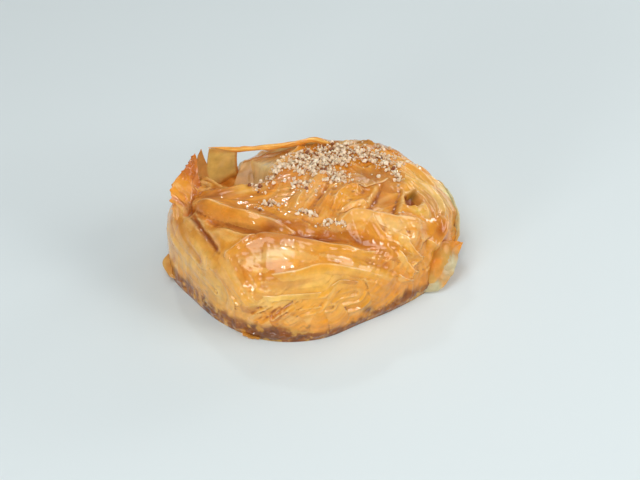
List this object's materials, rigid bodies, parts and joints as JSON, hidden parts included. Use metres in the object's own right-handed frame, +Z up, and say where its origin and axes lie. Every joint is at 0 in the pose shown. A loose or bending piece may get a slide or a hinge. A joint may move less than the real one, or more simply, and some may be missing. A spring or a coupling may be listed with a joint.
{
  "type": "syrup-soaked pastry",
  "caption": "Rounded parcel of thin phyllo leaves soaked in syrup, gathered in pleats on top with a raised torn rim, loose leaves at the sides and chopped nuts.",
  "frame": {"origin": "middle of the bounding box, on the surface that the pastry rests on", "axes": "+X to the right along the longest side, +Y away from the viewer, +Z up along the shortest side"},
  "size_m": [0.1268, 0.104, 0.0456],
  "materials": {
    "phyllo": null,
    "nuts": null
  },
  "bodies": {
    "root": {"pastry": "phyllo"}
  },
  "joints": []
}
